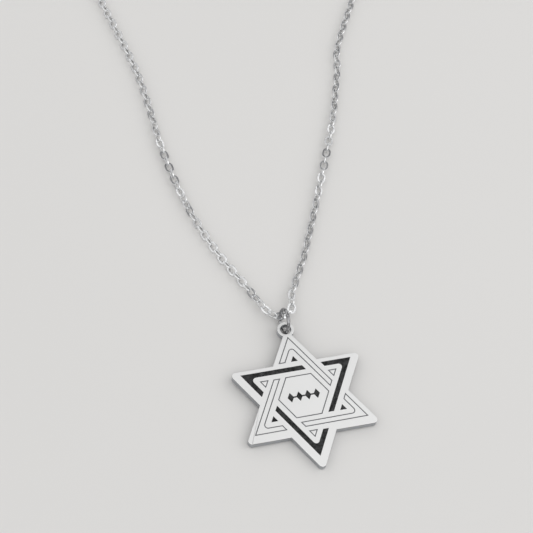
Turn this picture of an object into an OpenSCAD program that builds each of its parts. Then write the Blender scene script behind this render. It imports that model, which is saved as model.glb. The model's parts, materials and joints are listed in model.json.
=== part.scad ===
// Star pendant on a cable chain, lying down. Millimetres.
// x runs to the right, y along the pendant to its eye, z up from the surface that it lies on.

/* [Star plate] */
// Centre of the star to the corner of a dark band
band_reach = 13; // [12:0.5:16]
// Thickness of the plate
plate_t = 1.4; // [1:0.1:1.5]
// Metal outside the bands
rim_w = 1.3; // [1:0.1:1.8]
// How far the outline's middle lies below the middle of the bands
outline_down = 0.5; // [0.3:0.1:0.6]
// Rounding of the six points
point_r = 0.8; // [0.5:0.1:1]

/* [Eye] */
// Outer diameter of the eye
eye_d = 3.4; // [3.3:0.1:3.5]
// Diameter of the eye's hole
eye_hole_d = 2.2; // [2.2:0.1:2.4]
// Centre of the eye beyond the rounded point
eye_out = 0.6; // [0.5:0.05:0.7]

/* [Dark bands] */
// Width of a band
band_w = 1; // [0.6:0.1:1.2]
// Metal between a band's end and the band that it passes
band_gap = 1.15; // [0.8:0.05:1.3]
// Rounding inside a band's corner
bend_r = 0.65; // [0.3:0.05:0.9]

/* [Dark fill] */
// Depth of the pockets that hold the fill
pocket_depth = 0.35; // [0.3:0.05:0.5]
// Height of the fill
fill_t = 0.28; // [0.2:0.01:0.28]
// Space around the fill
fill_gap = 0.02; // [0.02:0.01:0.05]

/* [Engraved lines] */
// Width of a line
line_w = 0.2; // [0.1:0.02:0.24]
// Depth of a line
line_depth = 0.12; // [0.05:0.01:0.2]
// Inner edge of the bands to the hexagon's line
hexagon_in = 1.1; // [0.9:0.05:1.2]

/* [Small triangles] */
// Inner corner of a band to the centre of the small triangle in it
triangle_in = 3; // [2.8:0.1:3]
// Side of a dark triangle
dark_side = 1.4; // [1:0.1:1.5]
// Side of an outlined triangle
lined_side = 1.5; // [1.2:0.1:1.6]

/* [Middle motif] */
// Number of lozenges
lozenge_count = 4; // [2:1:4]
// Width of a lozenge
lozenge_w = 1.3; // [0.8:0.1:1.5]
// Height of a lozenge
lozenge_h = 2.1; // [1:0.1:2.4]
// From one lozenge to the next
lozenge_step = 1.75; // [1.6:0.05:1.8]
// Height of the bar that joins them
bar_h = 0.3; // [0.2:0.05:0.5]

/* [Jump ring] */
// Outer diameter of the jump ring
jump_d = 5.4; // [5.4:0.05:5.6]
// Wire of the jump ring
jump_wire = 0.7; // [0.6:0.02:0.7]
// Space between the jump ring and the eye's underside
jump_play = 0.22; // [0.2:0.02:0.3]
// Centre of the jump ring beyond the centre of the eye
jump_out = 1.65; // [1.6:0.01:1.7]
// Centre of the jump ring to the left of the line through the eye's middle
jump_aside = 0.06; // [0.04:0.01:0.08]
// Lean of the jump ring to the right
jump_lean = 10; // [9:0.5:11]

/* [Chain] */
// Width of a link
link_w = 1.85; // [1.75:0.05:1.85]
// Wire of a link
link_wire = 0.34; // [0.3:0.01:0.34]
// Nominal distance from one link to the next
link_step = 1.7; // [1.7:0.05:2]
// Play between the wires of two links
link_play = 0.18; // [0.16:0.01:0.22]
// Radius of the chain's round back
back_r = 42; // [38:1:46]

/* [Clasp] */
// Half the distance between the two links that the clasp joins
clasp_half = 4.2; // [3.6:0.1:5]
// Width of the clasp's loop
clasp_w = 4; // [3.4:0.1:4.4]
// Wire of the clasp's loop
clasp_wire = 0.84; // [0.7:0.02:0.84]
// Outer diameter of the clasp's tail eye
tail_d = 2.3; // [2.2:0.1:2.6]
// Wire of the clasp's tail eye
tail_wire = 0.68; // [0.6:0.02:0.68]

/* [Hidden] */
plain_steel = "gainsboro";
bright_steel = "silver";
dark_steel = "dimgray";
dark_fill = "black";
over = 1;

// Route of the chain over the surface, seen from the jump ring: x and y from the middle of the link
// that the jump ring holds, first up the right side, then up the left
chain_route = [
    [[2.9, 1.2], [3.5, 4.6], [8.2, 13], [11, 18.8], [17.7, 33.3], [23.5, 46.6], [28.4, 60], [31.8, 70.3]],
    [[-2.6, 2.1], [-5.1, 8.6], [-9.5, 19], [-13.1, 32], [-15, 45.7], [-15.5, 59.7], [-17.1, 73.7]]
];
// Middle of the round back, from the same link
back_middle = [14.5, 125];
// Angles at which the round back starts on each side, seen from its middle
back_start = [-33, 203];
back_steps = 5;
back_margin = 22;
curve_steps = 12;
// Distance along the chain to the stretch where its links lie flat, and how long that and the others are
flat_at = 43;
flat_span = 9;
clasp_span = 7;
apex_span = 6;
// The link that the jump ring holds: its middle, half its share of the chain, its heading and its turn
apex_x = -0.1;
apex_in = 0.42;
apex_half = 0.84;
apex_heading = -6;
apex_roll = 173;
// How the links beside it are turned and how far they rise to it
apex_turn = 7;
apex_rise = 0.49;
rise_span = 8.2;
// Space between the surface and the links
rest_play = 0.02;

// Heights of the lying pieces
side = band_reach / 2;
plate_side = side + rim_w;
plate_reach = 2 * plate_side - point_r;
inner_side = side - band_w;
plate_foot = plate_reach + outline_down;
eye_y = plate_reach - outline_down + eye_out;
eye_rim_y = eye_y + (eye_d + eye_hole_d) / 4;
lift = jump_wire + jump_play;
lift_angle = asin(lift / (eye_rim_y + plate_foot));
triangle_reach = 2 * inner_side - triangle_in;
hexagon_side = inner_side - hexagon_in;

// Places along the chain
jump_r = (jump_d - jump_wire) / 2;
jump_z = jump_r * cos(jump_lean) + jump_wire / 2;
jump_x = (jump_z - lift - plate_t / 2) * tan(jump_lean) - jump_aside;
jump_y = eye_y + jump_out;
held = [apex_x, jump_y + jump_r - apex_in];
back_top = held + back_middle + back_r * dir(90);
link_l = link_step + 2 * link_wire + link_play;

function dir(a) = [cos(a), sin(a)];

// Where two lines cross, each given by the angle of its normal and its distance from the centre
function crossing(a, d, b, e) =
    [d * sin(b) - e * sin(a), e * cos(a) - d * cos(b)] / sin(b - a);

// A corner band: its long arm lies on the side with normal a, its short one on the side 120 degrees on.
// grow moves every edge outwards.
function band_points(a, grow = 0) =
    let (out = side + grow, in = inner_side - grow, mid = inner_side - bend_r, b = a + 120,
        long_end = side - band_w - band_gap + grow, short_end = side + band_gap - grow)
    concat([crossing(a, out, b, out), crossing(a, out, a - 60, long_end)],
        [crossing(a, in, a - 60, long_end)],
        [for (k = [0:6]) crossing(a, mid, b, mid) + (bend_r - grow) * dir(a + 20 * k)],
        [crossing(b, in, a + 60, short_end), crossing(b, out, a + 60, short_end)]);

// A regular polygon with n corners, the first at angle a, whose sides lie r from its centre
function regular(n, a, r, at = [0, 0]) =
    [for (k = [0:n - 1]) at + r / cos(180 / n) * dir(a + 360 * k / n)];

// The thin outline between two closed lists of points
module outline(outer, inner) {
    count = len(outer);
    ring = [for (i = [0:count - 1]) i];
    polygon(concat(outer, inner), [ring, [for (i = ring) count + i]]);
}

module rounded_triangle(turn) {
    centre_reach = 2 * (plate_side - point_r);
    polygon([for (k = [0:2], s = [-60, 60]) let (a = turn + 120 * k)
        centre_reach * dir(a) + point_r * dir(a + s)]);
    for (k = [0:2]) translate(centre_reach * dir(turn + 120 * k)) circle(point_r, $fn = 48);
}

// The row of lozenges on its bar, every edge moved inwards by gap
module motif_shape(gap = 0) {
    size = 1 - gap / (lozenge_w * lozenge_h / 2 / norm([lozenge_w, lozenge_h]));
    reach = (lozenge_count - 1) / 2 * lozenge_step;
    square([2 * reach, bar_h - 2 * gap], center = true);
    for (k = [0:lozenge_count - 1]) translate([k * lozenge_step - reach, 0])
        polygon(size / 2 * [[lozenge_w, 0], [0, lozenge_h], [-lozenge_w, 0], [0, -lozenge_h]]);
}

// Lays a piece of the star on the jump ring's wire: it stands on its lowest point and rises to its eye
module laid() {
    translate([0, -plate_foot, 0]) rotate([lift_angle, 0, 0]) translate([0, plate_foot, 0]) children();
}

module pocket(depth) {
    translate([0, 0, plate_t - depth]) linear_extrude(depth + over) children();
}

module fill() {
    color(dark_fill) laid() translate([0, 0, plate_t - pocket_depth + fill_gap])
        linear_extrude(fill_t) children();
}

// A line engraved along a shape, half of its width to either side
module engraved(outer, inner) {
    pocket(line_depth) outline(outer, inner);
}

module star_plate() {
    half = line_w / 2;
    color(plain_steel) laid() difference() {
        linear_extrude(plate_t) {
            translate([0, -outline_down]) {
                rounded_triangle(90);
                rounded_triangle(270);
            }
            translate([0, eye_y]) circle(d = eye_d, $fn = 64);
        }
        translate([0, eye_y, -over]) cylinder(d = eye_hole_d, h = plate_t + 2 * over, $fn = 64);
        for (a = [90, 210, 330]) {
            pocket(pocket_depth) polygon(band_points(a));
            pocket(pocket_depth) polygon(tip_points(a));
            engraved(band_points(a - 60, half), band_points(a - 60, -half));
            engraved(lined_points(a + 60, half), lined_points(a + 60, -half));
        }
        engraved(regular(6, 0, hexagon_side + half), regular(6, 0, hexagon_side - half));
        pocket(pocket_depth) motif_shape();
    }
}

// The small triangles: dark ones point along the pendant, outlined ones the other way
function tip_points(a, grow = 0) = regular(3, 90, dark_side / sqrt(12) + grow, triangle_reach * dir(a));
function lined_points(a, grow = 0) = regular(3, 270, lined_side / sqrt(12) + grow, triangle_reach * dir(a));

module band_left() { fill() polygon(band_points(90, -fill_gap)); }
module band_right() { fill() polygon(band_points(330, -fill_gap)); }
module band_bottom() { fill() polygon(band_points(210, -fill_gap)); }
module tip_fill_top() { fill() polygon(tip_points(90, -fill_gap)); }
module tip_fill_left() { fill() polygon(tip_points(210, -fill_gap)); }
module tip_fill_right() { fill() polygon(tip_points(330, -fill_gap)); }
module middle_motif() { fill() motif_shape(fill_gap); }

module torus(r, wire, turn = 360) {
    rotate_extrude(angle = turn, $fn = 48) translate([r, 0]) circle(d = wire, $fn = 24);
}

// A long ring of round wire in the x-y plane, with outer length and width
module oval(length, width, wire) {
    run = (length - width) / 2;
    r = (width - wire) / 2;
    translate([run, 0, 0]) rotate([0, 0, -90]) torus(r, wire, 180);
    translate([-run, 0, 0]) rotate([0, 0, 90]) torus(r, wire, 180);
    translate([-run, r, 0]) rotate([0, 90, 0]) cylinder(d = wire, h = 2 * run, $fn = 24);
    translate([-run, -r, 0]) rotate([0, 90, 0]) cylinder(d = wire, h = 2 * run, $fn = 24);
}

module jump_ring() {
    color(dark_steel) translate([jump_x, jump_y, jump_z]) rotate([0, 90 + jump_lean, 0])
        torus(jump_r, jump_wire);
}

function bump(x, span) = exp(-pow(x / span, 2));

// How far the links are turned about the chain, at distance s along a side that is total long
function link_turn(s, total) =
    45 * (1 - bump(s - flat_at, flat_span) - bump(total - s, clasp_span))
        + (apex_turn - 45) * bump(s, apex_span);

// Height of the middle of a link that rests on the surface, or that rises to the jump ring
function link_z(s, total) =
    let (a = link_turn(s, total), upright = max(abs(sin(a)), abs(cos(a))))
    (link_w - link_wire) / 2 * upright + link_wire / 2 + rest_play + apex_rise * bump(s, rise_span);

// A smooth curve through all points but the first and the last, which set its direction at its ends
function curve(p) = concat([for (i = [1:len(p) - 3], k = [0:curve_steps - 1])
    smooth(p[i - 1], p[i], p[i + 1], p[i + 2], k / curve_steps)], [p[len(p) - 2]]);

// The curve's point at share t of the way from b to c, with a before and d after them
function smooth(a, b, c, d, t) =
    b + ((c - a) * t + (2 * a - 5 * b + 4 * c - d) * t * t + (3 * b - a - 3 * c + d) * t * t * t) / 2;

// The distance along a curve up to each of its points
function distances(c) =
    [for (i = 1, s = 0; i <= len(c); s = s + (i < len(c) ? norm(c[i] - c[i - 1]) : 0), i = i + 1) s];

// The round back's points on one side, from where it starts to just short of its top
function round_back(row, hand) =
    let (turn = 90 - hand * back_margin - back_start[row])
    [for (k = [0:back_steps]) held + back_middle + back_r * dir(back_start[row] + turn * k / back_steps)];

// The joints between the links of one side: row is the side's row in chain_route, hand 1 right, -1 left
function joints(row, hand) =
    let (start = held + hand * apex_half * dir(apex_heading),
        end = [hand * clasp_half, 0],
        route = [for (p = chain_route[row]) held + p],
        path = curve(concat([2 * held - start, start], route, round_back(row, hand),
            [back_top + end, back_top - end])),
        along = distances(path),
        total = along[len(along) - 1],
        count = 2 * floor(total / link_step / 2) + 1,
        xs = [for (i = [0:len(path) - 1]) [along[i], path[i].x]],
        ys = [for (i = [0:len(path) - 1]) [along[i], path[i].y]])
    [for (k = [0:count]) let (s = total * k / count)
        [lookup(s, xs), lookup(s, ys), link_z(s, total), link_turn(s, total)]];

// A link from joint a to joint b, turned about its length
module link(a, b, turn) {
    d = b - a;
    translate((a + b) / 2) rotate([0, -asin(d.z / norm(d)), atan2(d.y, d.x)]) rotate([turn, 0, 0])
        oval(link_l, link_w, link_wire);
}

module chain_side(row, hand) {
    j = joints(row, hand);
    place = [for (p = j) [p.x, p.y, p.z]];
    for (k = [0:len(j) - 2])
        link(place[k], place[k + 1], (j[k][3] + j[k + 1][3]) / 2 + 90 * ((k + 1) % 2));
}

module chain_right() {
    color(bright_steel) {
        chain_side(0, 1);
        z = joints(0, 1)[0].z;
        end = apex_half * dir(apex_heading);
        link([held.x - end.x, held.y - end.y, z], [held.x + end.x, held.y + end.y, z], apex_roll);
    }
}

module chain_left() {
    color(bright_steel) chain_side(1, -1);
}

// The clasp lies flat between the two upright links at its ends. Each end of it reaches past its link's
// wire by half its own wire and half the play.
module clasp() {
    loop_end = -clasp_half - (clasp_wire + link_play) / 2;
    tail_r = (tail_d - tail_wire) / 2;
    tail_x = clasp_half + (tail_wire + link_play) / 2 - tail_r;
    loop_l = tail_x - tail_r - loop_end + clasp_wire;
    color(bright_steel) translate([back_top.x, back_top.y, link_w / 2 + rest_play]) {
        translate([loop_end + (loop_l - clasp_wire) / 2, 0, 0]) oval(loop_l, clasp_w, clasp_wire);
        translate([tail_x, 0, 0]) torus(tail_r, tail_wire);
    }
}

star_plate();
band_left();
band_right();
band_bottom();
tip_fill_top();
tip_fill_left();
tip_fill_right();
middle_motif();
jump_ring();
chain_right();
chain_left();
clasp();
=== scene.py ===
"""Star pendant on a cable chain, lying on a pale surface. Lengths are in metres."""
import json

import bmesh
import bpy
import numpy as np
from bpy.props import FloatProperty, FloatVectorProperty, IntProperty, PointerProperty
from mathutils import Matrix


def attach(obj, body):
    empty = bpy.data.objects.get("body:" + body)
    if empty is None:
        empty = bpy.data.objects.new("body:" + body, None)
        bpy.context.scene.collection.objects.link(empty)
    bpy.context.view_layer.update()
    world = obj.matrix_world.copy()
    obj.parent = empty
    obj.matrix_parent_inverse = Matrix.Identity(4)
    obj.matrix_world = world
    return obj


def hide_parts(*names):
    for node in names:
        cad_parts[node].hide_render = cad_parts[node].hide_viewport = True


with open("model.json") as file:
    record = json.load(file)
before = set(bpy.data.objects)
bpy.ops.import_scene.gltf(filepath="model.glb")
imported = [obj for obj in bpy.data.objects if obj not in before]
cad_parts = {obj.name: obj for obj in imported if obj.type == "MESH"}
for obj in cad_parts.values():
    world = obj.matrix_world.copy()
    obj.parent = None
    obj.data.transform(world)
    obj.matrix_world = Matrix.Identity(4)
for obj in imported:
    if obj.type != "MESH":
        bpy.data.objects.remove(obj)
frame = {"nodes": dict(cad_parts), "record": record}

bl_info = {
    "name": "Star Pendant Necklace",
    "version": (1, 0, 0),
    "blender": (4, 5, 0),
    "location": "3D View > Sidebar > Necklace",
    "description": "Dresses a star pendant, its chain and the surface that they lie on",
    "category": "Add Mesh",
}

FILLS = ("band_left", "band_right", "band_bottom", "tip_fill_top", "tip_fill_left", "tip_fill_right",
         "middle_motif")
CHAINS = ("chain_right", "chain_left")
BACK = frame["record"]["mounts"][0]
TO_BACK = np.array(BACK["axis"])
BACK_POINT = np.array(BACK["pos_m"])

# Corners of a mesh that are closer than this are one corner
WELD = 1e-7
# Faces that meet at less than FLAT radians are one face, and edges over SHARP radians are sharp
FLAT = 0.01
SHARP = 0.5
# Shares of the plate's thickness: a level edge rises less, and an outer wall is higher
LEVEL_EDGE = 0.1
OUTER_WALL = 0.9
# Strips of a link's wire that lie flat, counted around its section
FLAT_STRIPS = (1, 3)
# Share of the jump ring's wire that is left at its very ends
END_WIDTH = 0.001
# Direction from the middle of the jump ring to its slit: low down, on the side away from the star
SLIT_SIDE = np.array([0.0, 0.6, -0.8])

# Noise values between which specks, dull patches and rough patches set in. On the jump ring the dull patches
# are near black, painted dark reflections
SPECKS = (0.3, 0.75)
DULL_AND_DARK_REFLECTION_PATCHES = (0.35, 0.8)
ROUGH_PATCHES = (0.4, 0.8)
# Depth of a mark on the wire as a share of its size
MARK_DEPTH = 0.02
# Upward parts of a direction between which the room's light rises from its lowest to its full strength
ROOM_RISE = (-0.05, 0.5)
SENSOR_MM = 36.0


# Materials

class Value:
    """A socket of a node tree that can be used in sums."""

    def __init__(self, tree, socket):
        self.tree = tree
        self.socket = socket

    def maths(self, operation, first, second):
        """One Math node on two values, each a number or another Value."""
        made = add_node(self.tree, "ShaderNodeMath", {"operation": operation}, {0: first, 1: second})
        return made[0]

    def __add__(self, other):
        return self.maths("ADD", self, other)

    def __sub__(self, other):
        return self.maths("SUBTRACT", self, other)

    def __rsub__(self, other):
        return self.maths("SUBTRACT", other, self)

    def __mul__(self, other):
        return self.maths("MULTIPLY", self, other)

    __radd__ = __add__
    __rmul__ = __mul__

    def ramp(self, low, high):
        """0 below low, 1 above high and a smooth rise between them."""
        return add_node(self.tree, "ShaderNodeMapRange", {"interpolation_type": "SMOOTHSTEP", "clamp": True},
                        {"Value": self, "From Min": low, "From Max": high, "To Min": 0.0, "To Max": 1.0})[0]


def add_node(tree, kind, settings, inputs):
    """Adds a node, sets its settings and then its inputs, which are numbers, tuples or Values, and gives its
    outputs as Values."""
    node = tree.nodes.new(kind)
    for key, value in settings.items():
        setattr(node, key, value)
    for key, value in inputs.items():
        if isinstance(value, Value):
            tree.links.new(value.socket, node.inputs[key])
        else:
            node.inputs[key].default_value = value
    return [Value(tree, out) for out in node.outputs if out.enabled]


class Finish:
    """A material with one Principled shader, whose even values are set on its own sockets."""

    def __init__(self, name, **even):
        self.material = bpy.data.materials.new(name)
        self.material.use_nodes = True
        self.tree = self.material.node_tree
        self.shader = self.tree.nodes["Principled BSDF"]
        for key, value in even.items():
            self.shader.inputs[key.replace("_", " ")].default_value = value
        self.place = self.node("ShaderNodeTexCoord", {}, {})[3]

    def node(self, kind, settings, inputs):
        return add_node(self.tree, kind, settings, inputs)

    def feed(self, socket, value):
        self.tree.links.new(value.socket, self.shader.inputs[socket])

    def noise(self, size, stretch=(1.0, 1.0, 1.0), turn=0.0, detail=3.0):
        """Noise whose grains are about size metres, drawn out by stretch after a turn about z."""
        at = self.node("ShaderNodeMapping", {}, {"Vector": self.place, "Rotation": (0.0, 0.0, turn),
                                                 "Scale": tuple(1.0 / (size * s) for s in stretch)})[0]
        return self.node("ShaderNodeTexNoise", {}, {"Vector": at, "Scale": 1.0, "Detail": detail})[0]

    def mixed(self, mask, low, high):
        """The colour low where mask is 0 and high where it is 1. Low may be a Value."""
        low = low if isinstance(low, Value) else (*low, 1.0)
        return self.node("ShaderNodeMix", {"data_type": "RGBA"},
                         {"Factor": mask, "A": low, "B": (*high, 1.0)})[0]

    def bump(self, height, depth, strength=1.0):
        """Tilts the surface as if it rose by depth metres where height is 1."""
        self.feed("Normal", self.node("ShaderNodeBump", {},
                                      {"Height": height, "Distance": depth, "Strength": strength})[0])

    def height_above_back(self):
        """Height over the plate's back face: (point on the back - place) . outward axis of the back."""
        away = self.node("ShaderNodeVectorMath", {"operation": "DOT_PRODUCT"},
                         {0: self.place, 1: tuple(-TO_BACK)})[0]
        return away + float(BACK_POINT @ TO_BACK)


def star_steel(look, thickness):
    """Satin top with fine brushing. Under the top the same steel is painted darker as painted shade: the
    engraved lines and a thin band along the top of the outer walls are painted dark, and the side walls below
    them are painted grey.
    """
    finish = Finish("star_steel", Metallic=1.0)
    height = finish.height_above_back()
    bright_depth = look.line_shade_depth * 0.2
    wall_depth = look.line_shade_reach * 1.3
    top = height.ramp(thickness - look.line_shade_depth, thickness - bright_depth)
    engraved = height.ramp(thickness - wall_depth, thickness - look.line_shade_reach)
    # Painted shade: the engraved lines and a thin band along the top of the outer walls get the dark line
    # colour, and the walls lower down a grey darker than the top
    below = finish.mixed(engraved, look.wall_shade_colour, look.line_shade_colour)
    brushing = finish.noise(look.brush_size, (1.0, look.brush_length, 1.0), look.brush_turn)
    cloud = finish.noise(look.brush_size * look.cloud_widths)
    finish.feed("Base Color", finish.mixed(top, below, look.top_colour))
    finish.feed("Roughness", (1 - top) * look.wall_roughness + top * look.top_roughness
                + (brushing - 0.5) * look.brush_change + (cloud - 0.5) * look.cloud_change)
    finish.bump(brushing, look.brush_depth, strength=0.5)
    return finish.material


def black_enamel(look):
    """Fired enamel: near black, softly mottled, with a slightly uneven semi-gloss surface."""
    finish = Finish("black_enamel", Specular_IOR_Level=look.shine)
    mottle = finish.noise(look.mottle_size, detail=5.0)
    finish.feed("Base Color", finish.mixed(mottle.ramp(*SPECKS), look.colour, look.mottle_colour))
    finish.feed("Roughness", mottle * look.roughness_change + look.roughness)
    finish.bump(mottle, look.mottle_depth)
    return finish.material


def polished_wire(name, look):
    """Polished wire with small duller patches and fine marks from handling. On the jump ring the wire's
    colour is painted dark and its patches near black, as painted dark reflections.
    """
    finish = Finish(name, Metallic=1.0)
    marks = finish.noise(look.mark_size, detail=4.0)
    # Duller tone on the chain; on the jump ring, painted dark reflections
    finish.feed("Base Color", finish.mixed(marks.ramp(*DULL_AND_DARK_REFLECTION_PATCHES), look.colour, look.dull_and_dark_reflection_colour))
    finish.feed("Roughness", marks.ramp(*ROUGH_PATCHES) * look.roughness_change + look.roughness)
    finish.bump(marks, look.mark_size * MARK_DEPTH, strength=0.4)
    return finish.material


def pale_floor(look):
    """Matt pale floor with a faint change of tone."""
    finish = Finish("pale_floor", Roughness=look.floor_roughness)
    tone = finish.noise(look.floor_tone_size)
    finish.feed("Base Color", finish.mixed(tone, look.floor_colour, look.floor_colour_far))
    return finish.material


# Shapes

def every(items, key, kind, width=1):
    """One property of all items of a mesh as an array, with a row for each item where width is over 1."""
    values = np.empty(len(items) * width, kind)
    items.foreach_get(key, values)
    return values.reshape(-1, width) if width > 1 else values


def mesh_arrays(node):
    """Welded corners and triangles of a CAD node."""
    mesh = frame["nodes"][node].data
    corners = every(mesh.vertices, "co", np.float32, 3).astype(float)
    loops = every(mesh.loops, "vertex_index", np.int32)
    whole = np.round(corners / WELD).astype(np.int64)
    _, first, welded = np.unique(whole, axis=0, return_index=True, return_inverse=True)
    return corners[first], welded.reshape(-1)[loops].reshape(-1, 3)


def loose_solids(points, triangles):
    """A number for each point that is the same on all of one loose solid: the lowest label spreads over
    shared triangles until nothing changes."""
    label = np.arange(len(points))
    while True:
        lowest = label[triangles].min(axis=1)
        spread = label.copy()
        for side in range(3):
            np.minimum.at(spread, triangles[:, side], lowest)
        spread = spread[spread]
        if np.array_equal(spread, label):
            return np.unique(label, return_inverse=True)[1].reshape(-1)
        label = spread


def solid_frames(node):
    """Middle, three axes (long, across, thin) and half-lengths along them of each loose solid of a CAD node.
    The middle is the mean of its triangles by area, and the axes are those of their spread."""
    points, triangles = mesh_arrays(node)
    which = loose_solids(points, triangles)[triangles[:, 0]]
    a, b, c = (points[triangles[:, k]] for k in range(3))
    area = np.linalg.norm(np.cross(b - a, c - a), axis=1) / 2
    mid = (a + b + c) / 3
    total = np.bincount(which, area)
    centre = np.stack([np.bincount(which, area * mid[:, k]) for k in range(3)], 1) / total[:, None]
    off = mid - centre[which]
    spread = np.empty((len(total), 3, 3))
    for i in range(3):
        for j in range(3):
            spread[:, i, j] = np.bincount(which, area * off[:, i] * off[:, j]) / total
    axes = np.linalg.eigh(spread)[1].transpose(0, 2, 1)[:, ::-1]
    axes[:, 2] = np.cross(axes[:, 0], axes[:, 1])
    reach = np.zeros((len(total), 3))
    for corner in (a, b, c):
        along = np.abs(np.einsum("nij,nj->ni", axes[which], corner - centre[which]))
        np.maximum.at(reach, which, along)
    return centre, axes, reach


def swept_link(length, width, wire, thickness, cut, bend_steps):
    """Flattened wire bent into a long ring. The path is two half circles of radius (width - wire) / 2 about
    points (length - width) / 2 to either side. Each ring of points is path + x * outward + z * up for the six
    corners (x, z) of the wire's section, a box of wire by thickness whose two outer corners are cut off."""
    turn = np.linspace(-np.pi / 2, np.pi / 2, bend_steps)
    angle = np.concatenate([turn, turn + np.pi])
    outward = np.stack([np.cos(angle), np.sin(angle), np.zeros_like(angle)], 1)
    shift = np.zeros_like(outward)
    shift[:, 0] = np.repeat([1.0, -1.0], bend_steps) * (length - width) / 2
    path = shift + outward * (width - wire) / 2
    side, top = wire / 2, thickness / 2
    x = np.array([side, side - cut, -side, -side, side - cut, side])[None, :, None]
    z = np.array([top - cut, top, top, -top, -top, cut - top])[None, :, None]
    return path[:, None] + x * outward[:, None] + z * np.array([0.0, 0.0, 1.0])


def swept_ring(reach, wire, slit, steps, sides):
    """Wire bent into an open ring: point(u, v) = (reach - wire / 2) * outward(u) + wire / 2 * fall(u) *
    (cos v * outward(u) + sin v * up), from half the slit to just before a full turn. The fall is a quarter
    circle over the last quarter of the wire's width at both ends, and tube_with_ends closes them."""
    part = np.linspace(0, 1, steps)
    u = slit / reach / 2 + part * (2 * np.pi - slit / reach)
    end_angle = wire / 4 / reach
    from_end = np.minimum(part, 1 - part) * 2 * np.pi / end_angle
    fall = np.sqrt(1 - (1 - np.clip(from_end, 0, 1)) ** 2).clip(END_WIDTH)
    outward = np.stack([np.cos(u), np.sin(u), np.zeros_like(u)], 1)
    v = np.linspace(0, 2 * np.pi, sides, endpoint=False)[None, :, None]
    ring = np.cos(v) * outward[:, None] + np.sin(v) * np.array([0.0, 0.0, 1.0])
    return outward[:, None] * (reach - wire / 2) + wire / 2 * fall[:, None, None] * ring


def tube_faces(around, sides, closed):
    """Squares of a tube's grid of around by sides points, facing outwards."""
    i, j = np.meshgrid(np.arange(around if closed else around - 1), np.arange(sides), indexing="ij")
    ahead, up = (i + 1) % around, (j + 1) % sides
    corners = [i * sides + j, ahead * sides + j, ahead * sides + up, i * sides + up]
    return np.stack(corners, -1).reshape(-1, 4)


def tube_with_ends(around, sides):
    """Faces of an open tube, as in tube_faces, and one face over each of its ends."""
    near_end = np.arange(sides)
    far_end = near_end[::-1] + (around - 1) * sides
    return [*tube_faces(around, sides, False).tolist(), near_end.tolist(), far_end.tolist()]


def put_in_scene(name, data):
    """A new object in the scene for a mesh, a light or a camera."""
    made = bpy.data.objects.new(name, data)
    bpy.context.scene.collection.objects.link(made)
    return made


def coat(mesh, material):
    """Gives a mesh its one material."""
    mesh.materials.clear()
    mesh.materials.append(material)


def add_piece(name, points, faces, material, node):
    """Puts a surface into the scene as a piece that takes the place of a CAD node."""
    mesh = bpy.data.meshes.new(name)
    mesh.from_pydata(points.reshape(-1, 3), [], faces)
    mesh.shade_smooth()
    mesh.validate()
    piece = put_in_scene(name, mesh)
    finish_piece(piece, material, node)
    return piece


def finish_piece(piece, material, node):
    """Gives a piece its material, hangs it under the root body's empty and hides the CAD node that it takes
    the place of.
    """
    coat(piece.data, material)
    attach(piece, "root")
    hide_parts(node)


def softened_copy(name, node, edge, groove_edge):
    """A welded copy of a flat CAD node with its flat faces joined, and the node's thickness. Level edges
    beside a wall as high as the node are rounded by edge and all other sharp ones by groove_edge."""
    mesh = frame["nodes"][node].data.copy()
    work = bmesh.new()
    work.from_mesh(mesh)
    bmesh.ops.remove_doubles(work, verts=work.verts, dist=WELD)
    bmesh.ops.dissolve_limit(work, angle_limit=FLAT, verts=work.verts, edges=work.edges)
    work.to_mesh(mesh)
    work.free()
    height = (BACK_POINT - every(mesh.vertices, "co", np.float32, 3)) @ TO_BACK
    tall = float(height.max())
    corner_height = height[every(mesh.loops, "vertex_index", np.int32)]
    start = every(mesh.polygons, "loop_start", np.int32)
    span = np.maximum.reduceat(corner_height, start) - np.minimum.reduceat(corner_height, start)
    face_of_corner = np.repeat(np.arange(len(start)), every(mesh.polygons, "loop_total", np.int32))
    beside = face_of_corner[np.argsort(every(mesh.loops, "edge_index", np.int32))].reshape(-1, 2)
    facing = every(mesh.polygons, "normal", np.float32, 3)[beside]
    sharp = (facing[:, 0] * facing[:, 1]).sum(1) < np.cos(SHARP)
    ends = height[every(mesh.edges, "vertices", np.int32, 2)]
    level = np.abs(ends[:, 0] - ends[:, 1]) < LEVEL_EDGE * tall
    outer = level & (span[beside].max(1) > OUTER_WALL * tall)
    weight = np.where(sharp, np.where(outer, 1.0, groove_edge / edge), 0.0)
    mesh.attributes.new("bevel_weight_edge", "FLOAT", "EDGE").data.foreach_set("value", weight)
    mesh.shade_smooth()
    piece = put_in_scene(name, mesh)
    rounding = piece.modifiers.new("rounded_edges", "BEVEL")
    rounding.limit_method = "WEIGHT"
    rounding.width = edge
    rounding.segments = 3
    piece.modifiers.new("flat_faces", "WEIGHTED_NORMAL").weight = 100
    return piece, tall


# Settings

def length(name, description, default):
    return FloatProperty(name=name, description=description, default=default, min=0.0, precision=5,
                         subtype="DISTANCE", unit="LENGTH")


def colour(name, description, default):
    return FloatVectorProperty(name=name, description=description, default=default, size=3, min=0.0, max=1.0,
                               subtype="COLOR")


def share(name, description, default):
    return FloatProperty(name=name, description=description, default=default, min=0.0, max=1.0,
                         subtype="FACTOR")


def number(name, description, default, **kind):
    return FloatProperty(name=name, description=description, default=default, **kind)


def direction(name, description, default):
    return FloatVectorProperty(name=name, description=description, default=default, precision=4,
                               subtype="DIRECTION")


def place(name, description, default):
    return FloatVectorProperty(name=name, description=description, default=default, precision=5,
                               subtype="XYZ", unit="LENGTH")


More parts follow.
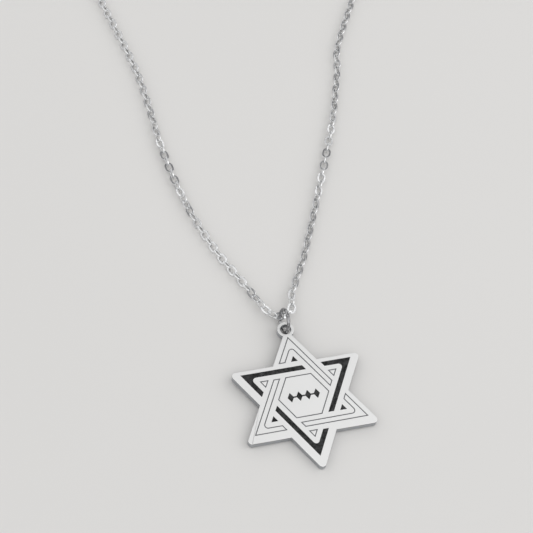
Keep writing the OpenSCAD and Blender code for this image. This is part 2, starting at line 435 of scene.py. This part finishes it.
class StarSettings(bpy.types.PropertyGroup):
    top_colour: colour("Top", "Colour of the satin top", (0.86, 0.86, 0.855))
    # The walls' grey is painted shade: the same steel as the top, painted darker
    wall_shade_colour: colour("Walls", "Colour of the side walls", (0.46, 0.475, 0.495))
    # Painted shade in the engraved lines and along the top of the outer walls
    line_shade_colour: colour("Lines", "Colour of the engraved lines", (0.2, 0.205, 0.215))
    top_roughness: share("Top Roughness", "Roughness of the satin top", 0.52)
    wall_roughness: share("Wall Roughness", "Roughness of the side walls", 0.35)
    # Depths under the top between which the steel is painted dark as painted shade
    line_shade_depth: length("Dark Below", "Depth under the top at which the steel is dark", 0.00006)
    line_shade_reach: length("Line Reach", "Depth under the top down to which it stays dark", 0.00014)
    edge: length("Edge Rounding", "Rounding of the plate's outer edges", 0.00012)
    groove_edge: length("Groove Rounding", "Rounding of the edges of pockets and lines", 0.00002)
    brush_size: length("Brushing", "Width of a brush mark", 0.00006)
    brush_length: number("Brush Length", "Length of a brush mark in its widths", 30.0)
    brush_turn: number("Brush Turn", "Direction of the brushing", 0.5, subtype="ANGLE", unit="ROTATION")
    brush_depth: length("Brush Depth", "Depth of a brush mark", 0.000002)
    brush_change: share("Brush Change", "Change of roughness from brush mark to brush mark", 0.1)
    cloud_widths: number("Cloud Size", "Size of slow changes of roughness in widths of a brush mark", 60.0)
    cloud_change: share("Cloud Change", "Change of roughness over the slow changes", 0.06)


class EnamelSettings(bpy.types.PropertyGroup):
    colour: colour("Enamel", "Colour of the enamel", (0.003, 0.003, 0.003))
    mottle_colour: colour("Mottling", "Colour of its paler specks", (0.042, 0.042, 0.043))
    roughness: share("Roughness", "Lowest roughness of the enamel", 0.3)
    roughness_change: share("Roughness Change", "How much rougher its roughest specks are", 0.2)
    shine: share("Shine", "Strength of the enamel's reflections", 0.28)
    mottle_size: length("Mottle Size", "Size of the specks", 0.0007)
    mottle_depth: length("Mottle Depth", "Height of the uneven surface", 0.000012)


class ChainSettings(bpy.types.PropertyGroup):
    wire: length("Wire", "Width of a link's flattened wire", 0.00038)
    thin: share("Thinness", "Thickness of the flattened wire as a share of the round wire's", 0.765)
    cut: length("Cut", "Width of the cut along the wire's outer edges", 0.000032)
    colour: colour("Steel", "Colour of the polished wire", (0.86, 0.865, 0.87))
    dull_and_dark_reflection_colour: colour("Dull Patches", "Colour of its duller patches", (0.58, 0.585, 0.595))
    roughness: share("Roughness", "Lowest roughness of the wire", 0.08)
    roughness_change: share("Roughness Change", "How much rougher its patches are", 0.12)
    mark_size: length("Mark Size", "Size of the duller patches", 0.0006)
    bend_steps: IntProperty(name="Bend Steps", description="Points along each half circle", default=8, min=3)


class RingSettings(bpy.types.PropertyGroup):
    # The ring's steel is painted dark and its patches nearly black, as painted dark reflections of the room
    colour: colour("Steel", "Colour of the dark ring", (0.42, 0.42, 0.43))
    dull_and_dark_reflection_colour: colour("Dull Patches", "Colour of its duller patches", (0.04, 0.04, 0.042))
    roughness: share("Roughness", "Lowest roughness of the ring", 0.07)
    roughness_change: share("Roughness Change", "How much rougher its patches are", 0.12)
    mark_size: length("Mark Size", "Size of the duller patches", 0.0006)
    slit: length("Slit", "Opening between the ring's ends", 0.00006)
    steps: IntProperty(name="Steps", description="Points along the ring", default=96, min=12)
    sides: IntProperty(name="Sides", description="Points around the wire", default=20, min=6)


class StageSettings(bpy.types.PropertyGroup):
    floor_colour: colour("Floor", "Colour of the floor", (0.685, 0.677, 0.664))
    floor_colour_far: colour("Floor Tone", "Second tone of the floor", (0.65, 0.642, 0.63))
    floor_tone_size: length("Floor Tone Size", "Size of the floor's changes of tone", 0.25)
    floor_roughness: share("Floor Roughness", "Roughness of the floor", 0.9)
    floor_size: length("Floor Size", "Length of the floor's side", 6.0)
    sky_colour: colour("Room", "Colour of the room's light from above", (1.0, 1.0, 1.0))
    horizon_colour: colour("Room Low Down", "Colour of the room near the floor", (0.2, 0.2, 0.205))
    dim_direction: direction("Dim Patch", "Direction of a dimmer patch overhead", (0.15, 0.57, 0.81))
    dim_edge: number("Dim Edge", "Cosine of the dim patch's half angle", 0.9)
    dim_share: share("Dim Share", "How much of the light the patch lacks at its middle", 0.97)
    sky_light: number("Room Light", "Strength of the room's light", 1.07)
    key_place: place("Key Light", "Place of the main light", (0.62, -0.16, 0.5))
    key_size: length("Key Size", "Side of the main light", 0.7)
    key_power: number("Key Power", "Power of the main light", 1.3, unit="POWER")
    camera_place: place("Camera", "Place of the camera", (-0.06272, -0.12561, 0.25993))
    camera_right: direction("Camera Right", "Direction to the picture's right", (0.9674, -0.2359, 0.0921))
    camera_up: direction("Camera Up", "Direction to the picture's top", (0.1511, 0.8295, 0.5377))
    camera_near: length("Camera Near", "Nearest distance that the camera sees", 0.005)
    focal_px: number("Focal Length", "The camera's focal length in pixels", 1500.0)
    picture_px: number("Picture Width", "Width of the picture in pixels", 533.0)


class NecklaceSettings(bpy.types.PropertyGroup):
    star: PointerProperty(type=StarSettings)
    enamel: PointerProperty(type=EnamelSettings)
    chain: PointerProperty(type=ChainSettings)
    ring: PointerProperty(type=RingSettings)
    stage: PointerProperty(type=StageSettings)


# Operators

class NECKLACE_OT_star(bpy.types.Operator):
    """Make the star plate with rounded edges and satin steel"""
    bl_idname = "necklace.star"
    bl_label = "Star Plate"

    def execute(self, context):
        look = context.scene.necklace.star
        piece, thickness = softened_copy("star_plate_dressed", "star_plate", look.edge, look.groove_edge)
        finish_piece(piece, star_steel(look, thickness), "star_plate")
        return {"FINISHED"}


class NECKLACE_OT_enamel(bpy.types.Operator):
    """Give the dark fills their enamel"""
    bl_idname = "necklace.enamel"
    bl_label = "Enamel"

    def execute(self, context):
        material = black_enamel(context.scene.necklace.enamel)
        for node in FILLS:
            coat(frame["nodes"][node].data, material)
        return {"FINISHED"}


class NECKLACE_OT_jump_ring(bpy.types.Operator):
    """Make the jump ring with its slit, its steel painted dark as painted dark reflections"""
    bl_idname = "necklace.jump_ring"
    bl_label = "Jump Ring"

    def execute(self, context):
        look = context.scene.necklace.ring
        centre, axes, reach = solid_frames("jump_ring")
        # The wire starts where SLIT_SIDE points to when it is laid into the ring's plane
        in_plane = axes[0][:2]
        first = in_plane @ SLIT_SIDE @ in_plane
        first /= np.linalg.norm(first)
        turned = np.stack([first, np.cross(axes[0][2], first), axes[0][2]])
        grid = swept_ring(reach[0, 0], reach[0, 2] * 2, look.slit, look.steps, look.sides)
        faces = tube_with_ends(look.steps, look.sides)
        material = polished_wire("ring_steel", look)
        add_piece("jump_ring_dressed", grid @ turned + centre[0], faces, material, "jump_ring")
        return {"FINISHED"}


class NECKLACE_OT_chain(bpy.types.Operator):
    """Make the links of both sides of the chain"""
    bl_idname = "necklace.chain"
    bl_label = "Chain"

    def execute(self, context):
        look = context.scene.necklace.chain
        material = polished_wire("chain_steel", look)
        for node in CHAINS:
            centre, axes, reach = solid_frames(node)
            size = 2 * np.median(reach, axis=0)
            link = swept_link(size[0], size[1], look.wire, size[2] * look.thin, look.cut, look.bend_steps)
            points = np.einsum("uvk,nkc->nuvc", link, axes) + centre[:, None, None]
            around, sides = link.shape[:2]
            first_corner = np.arange(len(centre))[:, None, None] * around * sides
            faces = (first_corner + tube_faces(around, sides, True)).reshape(-1, 4)
            links = add_piece(node + "_links", points, faces, material, node)
            strip = np.arange(len(faces)) % sides
            links.data.polygons.foreach_set("use_smooth", ~np.isin(strip, FLAT_STRIPS))
        coat(frame["nodes"]["clasp"].data, material)
        return {"FINISHED"}


class NECKLACE_OT_stage(bpy.types.Operator):
    """Make the floor, the lights and the camera"""
    bl_idname = "necklace.stage"
    bl_label = "Floor, Lights and Camera"

    def execute(self, context):
        look = context.scene.necklace.stage
        self.make_floor(look)
        context.scene.world = self.make_room(look)
        self.make_key(look)
        context.scene.camera = self.make_camera(look)
        context.scene.view_settings.view_transform = "Standard"
        return {"FINISHED"}

    def make_floor(self, look):
        half = look.floor_size / 2
        mesh = bpy.data.meshes.new("floor")
        corners = [(-half, -half, 0), (half, -half, 0), (half, half, 0), (-half, half, 0)]
        mesh.from_pydata(corners, [], [(0, 1, 2, 3)])
        coat(mesh, pale_floor(look))
        put_in_scene("floor", mesh)

    def make_room(self, look):
        """Light that grows from the horizon up, with a dimmer round patch overhead."""
        world = bpy.data.worlds.new("room")
        world.use_nodes = True
        tree = world.node_tree
        towards = add_node(tree, "ShaderNodeTexCoord", {}, {})[0]
        up = add_node(tree, "ShaderNodeSeparateXYZ", {}, {0: towards})[2]
        facing = add_node(tree, "ShaderNodeVectorMath", {"operation": "DOT_PRODUCT"},
                          {0: towards, 1: tuple(look.dim_direction)})[0]
        bright = up.ramp(*ROOM_RISE) * (1 - facing.ramp(look.dim_edge, 1.0) * look.dim_share)
        tone = add_node(tree, "ShaderNodeMix", {"data_type": "RGBA"},
                        {"Factor": bright, "A": (*look.horizon_colour, 1.0),
                         "B": (*look.sky_colour, 1.0)})[0]
        back = tree.nodes["Background"]
        tree.links.new(tone.socket, back.inputs["Color"])
        back.inputs["Strength"].default_value = look.sky_light
        return world

    def make_key(self, look):
        lamp = bpy.data.lights.new("key", "AREA")
        lamp.size = look.key_size
        lamp.energy = look.key_power
        key = put_in_scene("key", lamp)
        key.location = look.key_place
        key.rotation_euler = (-key.location).to_track_quat("-Z", "Y").to_euler()

    def make_camera(self, look):
        right = np.array(look.camera_right)
        right /= np.linalg.norm(right)
        back = np.cross(right, np.array(look.camera_up))
        back /= np.linalg.norm(back)
        turn = np.eye(4)
        turn[:3, :3] = np.stack([right, np.cross(back, right), back], 1)
        turn[:3, 3] = look.camera_place
        lens = bpy.data.cameras.new("camera")
        lens.sensor_width = SENSOR_MM
        lens.lens = SENSOR_MM * look.focal_px / look.picture_px
        lens.clip_start = look.camera_near
        camera = put_in_scene("camera", lens)
        camera.matrix_world = Matrix(turn.tolist())
        return camera


OPERATORS = (NECKLACE_OT_stage, NECKLACE_OT_star, NECKLACE_OT_enamel, NECKLACE_OT_jump_ring,
             NECKLACE_OT_chain)


class NECKLACE_PT_panel(bpy.types.Panel):
    """Lists the necklace's pieces and their settings"""
    bl_idname = "NECKLACE_PT_panel"
    bl_label = "Star Pendant Necklace"
    bl_space_type = "VIEW_3D"
    bl_region_type = "UI"
    bl_category = "Necklace"

    def draw(self, context):
        for operator in OPERATORS:
            self.layout.operator(operator.bl_idname)
        for part in ("star", "enamel", "chain", "ring", "stage"):
            box = self.layout.box()
            settings = getattr(context.scene.necklace, part)
            box.label(text=part.capitalize())
            for key in settings.bl_rna.properties.keys():
                if key not in ("rna_type", "name"):
                    box.prop(settings, key)


CLASSES = (StarSettings, EnamelSettings, ChainSettings, RingSettings, StageSettings, NecklaceSettings,
           *OPERATORS, NECKLACE_PT_panel)


def register():
    for each in CLASSES:
        bpy.utils.register_class(each)
    bpy.types.Scene.necklace = PointerProperty(type=NecklaceSettings)


def unregister():
    del bpy.types.Scene.necklace
    for each in reversed(CLASSES):
        bpy.utils.unregister_class(each)


def main():
    register()
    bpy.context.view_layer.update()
    bpy.ops.necklace.stage()
    bpy.ops.necklace.star()
    bpy.ops.necklace.enamel()
    bpy.ops.necklace.jump_ring()
    bpy.ops.necklace.chain()


if __name__ == "__main__":
    main()
